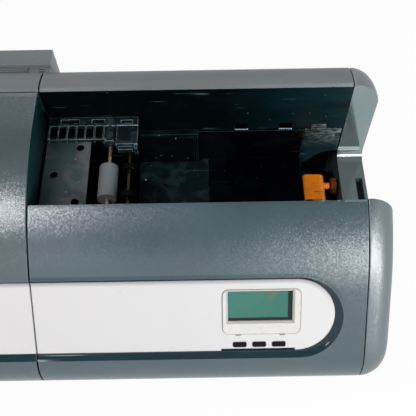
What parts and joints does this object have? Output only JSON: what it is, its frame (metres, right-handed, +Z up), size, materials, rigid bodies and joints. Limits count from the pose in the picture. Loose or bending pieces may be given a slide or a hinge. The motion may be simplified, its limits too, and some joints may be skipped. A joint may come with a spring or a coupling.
{
  "type": "id card printer",
  "caption": "Bench-top card printer: long moulded housing in two modules, display stripe with buttons, open print bay with rollers, hinged left cover over a card flipper, notched end cap.",
  "frame": {"origin": "middle of the bounding box in X and Y, on the table under the rubber feet", "axes": "+X along the length towards the open print bay and the notched end cap, +Y from the front to the rear, +Z up"},
  "size_m": [0.699, 0.312, 0.306],
  "materials": {
    "slate": "fine speckled satin paint",
    "slate_dark": "satin, fine grain",
    "foot_rubber": "matt",
    "stripe_white": "smooth gloss",
    "lcd_glass": "smooth, backed by a green liquid crystal cell",
    "circuit_green": "solder mask",
    "button_black": "semi-gloss",
    "steel": "bright",
    "inner_black": "glossy moulded plastic with rubbed marks",
    "worn_teal": "glossy, scuffed and dusty",
    "smoked": "thin smoked sheet, dusty",
    "path_grey": "rubbed matt black",
    "roller_grey": "satin, slightly tacky",
    "shaft_bronze": "turned and polished",
    "roller_black": "matt",
    "nylon": "natural moulded",
    "gear_brass": "machined",
    "motor_black": "semi-gloss black",
    "plate_steel": "zinc plated sheet",
    "orange": "satin moulded",
    "black_plastic": "moulded",
    "belt_rubber": "matt",
    "pinch_grey": "matt"
  },
  "bodies": {
    "chassis": {"base_tray": "slate_dark", "rubber_feet": "foot_rubber", "front_fascia_right": "slate", "front_fascia_left": "slate", "rear_housing_right": "slate", "rear_housing_left": "slate", "service_housing": "slate", "service_housing_end": "slate", "end_cap_right": "slate", "end_cap_left": "slate", "stripe_right": "stripe_white", "stripe_left": "stripe_white", "display_frame": "stripe_white", "display_glass": "lcd_glass", "panel_board": "circuit_green", "cover_hinge_rod": "steel", "centre_partition": "inner_black", "bay_back_panel": "inner_black", "lower_panel_left": "inner_black", "lower_panel_right": "inner_black", "keeper_bars": "steel", "dust_shield": "smoked", "worn_floor_panel": "worn_teal", "smooth_floor_panel": "inner_black", "guide_plate": "path_grey", "ribbed_bracket": "inner_black", "feed_motor": "motor_black", "front_chassis_plate": "plate_steel", "rear_chassis_plate": "plate_steel", "shaft_bushes": "shaft_bronze", "feeder_shelf": "inner_black", "main_board": "circuit_green", "power_supply": "plate_steel", "fan_frame": "black_plastic", "socket_plate": "black_plastic", "left_deck": "inner_black", "flipper_frame": "plate_steel", "flip_belt": "belt_rubber", "flip_motor": "motor_black", "output_bin": "inner_black", "case_screws": "steel"},
    "left_cover": {"left_cover": "slate"},
    "button_left": {"button_left": "button_black"},
    "button_middle": {"button_middle": "button_black"},
    "button_right": {"button_right": "button_black"},
    "cleaning_roller": {"cleaning_roller": "roller_grey", "cleaner_shaft_rod": "shaft_bronze"},
    "feed_roller": {"feed_roller": "roller_black", "feed_gear": "nylon"},
    "drive_pinion": {"drive_pinion": "gear_brass"},
    "latch_lever": {"latch_lever": "orange"},
    "gate_wheel": {"gate_wheel": "orange"},
    "fan_rotor": {"fan_rotor": "black_plastic"},
    "power_switch": {"power_switch": "black_plastic"},
    "flip_drum": {"flip_drum": "black_plastic"},
    "belt_pulley": {"belt_pulley": "gear_brass"},
    "entry_roller": {"entry_roller": "roller_black"},
    "entry_pinch_roller": {"entry_pinch_roller": "pinch_grey"},
    "exit_roller": {"exit_roller": "roller_black"},
    "exit_pinch_roller": {"exit_pinch_roller": "pinch_grey"}
  },
  "joints": [
    {"name": "left_cover_hinge", "type": "hinge", "parent": "chassis", "child": "left_cover", "pos_m": [0, 0.084, 0.3021], "axis": [1, 0, 0], "range_deg": [-80, 0]},
    {"name": "button_left_press", "type": "slide", "parent": "chassis", "child": "button_left", "axis": [0, 0.7455, -0.6665], "range_m": [0, 0.0008], "stiffness_N_per_m": 500, "springref_m": -0.0004},
    {"name": "button_middle_press", "type": "slide", "parent": "chassis", "child": "button_middle", "axis": [0, 0.7455, -0.6665], "range_m": [0, 0.0008], "stiffness_N_per_m": 500, "springref_m": -0.0004},
    {"name": "button_right_press", "type": "slide", "parent": "chassis", "child": "button_right", "axis": [0, 0.7455, -0.6665], "range_m": [0, 0.0008], "stiffness_N_per_m": 500, "springref_m": -0.0004},
    {"name": "cleaning_roller_spin", "type": "hinge", "parent": "chassis", "child": "cleaning_roller", "pos_m": [0.0747, 0, 0.249], "axis": [0, 1, 0], "continuous": true},
    {"name": "feed_roller_spin", "type": "hinge", "parent": "chassis", "child": "feed_roller", "pos_m": [0.0955, 0, 0.2505], "axis": [0, 1, 0], "continuous": true},
    {"name": "drive_pinion_spin", "type": "hinge", "parent": "chassis", "child": "drive_pinion", "pos_m": [0.08395, 0, 0.2305], "axis": [0, 1, 0], "continuous": true},
    {"name": "latch_lever_swing", "type": "hinge", "parent": "chassis", "child": "latch_lever", "pos_m": [0.2845, 0, 0.188], "axis": [0, 1, 0], "range_deg": [-50, 0]},
    {"name": "gate_wheel_turn", "type": "hinge", "parent": "chassis", "child": "gate_wheel", "pos_m": [0.3155, 0.055, 0.1755], "axis": [1, 0, 0], "range_deg": [-90, 90]},
    {"name": "fan_spin", "type": "hinge", "parent": "chassis", "child": "fan_rotor", "pos_m": [0.129, 0, 0.11], "axis": [0, 1, 0], "continuous": true},
    {"name": "power_switch_rock", "type": "hinge", "parent": "chassis", "child": "power_switch", "pos_m": [0.258, 0.116, 0.096], "axis": [1, 0, 0], "range_deg": [0, 14]},
    {"name": "flip_drum_turn", "type": "hinge", "parent": "chassis", "child": "flip_drum", "pos_m": [-0.12, 0, 0.2575], "axis": [0, 1, 0], "range_deg": [-180, 180]},
    {"name": "belt_pulley_spin", "type": "hinge", "parent": "chassis", "child": "belt_pulley", "pos_m": [-0.19, 0, 0.2175], "axis": [0, 1, 0], "range_deg": [-360, 360]},
    {"name": "entry_roller_spin", "type": "hinge", "parent": "chassis", "child": "entry_roller", "pos_m": [-0.03, 0, 0.2491], "axis": [0, 1, 0], "continuous": true},
    {"name": "entry_pinch_spin", "type": "hinge", "parent": "chassis", "child": "entry_pinch_roller", "pos_m": [-0.03, 0, 0.2639], "axis": [0, 1, 0], "continuous": true},
    {"name": "exit_roller_spin", "type": "hinge", "parent": "chassis", "child": "exit_roller", "pos_m": [-0.21, 0, 0.2491], "axis": [0, 1, 0], "continuous": true},
    {"name": "exit_pinch_spin", "type": "hinge", "parent": "chassis", "child": "exit_pinch_roller", "pos_m": [-0.21, 0, 0.2639], "axis": [0, 1, 0], "continuous": true}
  ],
  "couplings": [
    {"joint": "drive_pinion_spin", "follows": "feed_roller_spin", "ratio": -1.875},
    {"joint": "belt_pulley_spin", "follows": "flip_drum_turn", "ratio": 2},
    {"joint": "entry_pinch_spin", "follows": "entry_roller_spin", "ratio": -1.3333},
    {"joint": "exit_pinch_spin", "follows": "exit_roller_spin", "ratio": -1.3333}
  ]
}
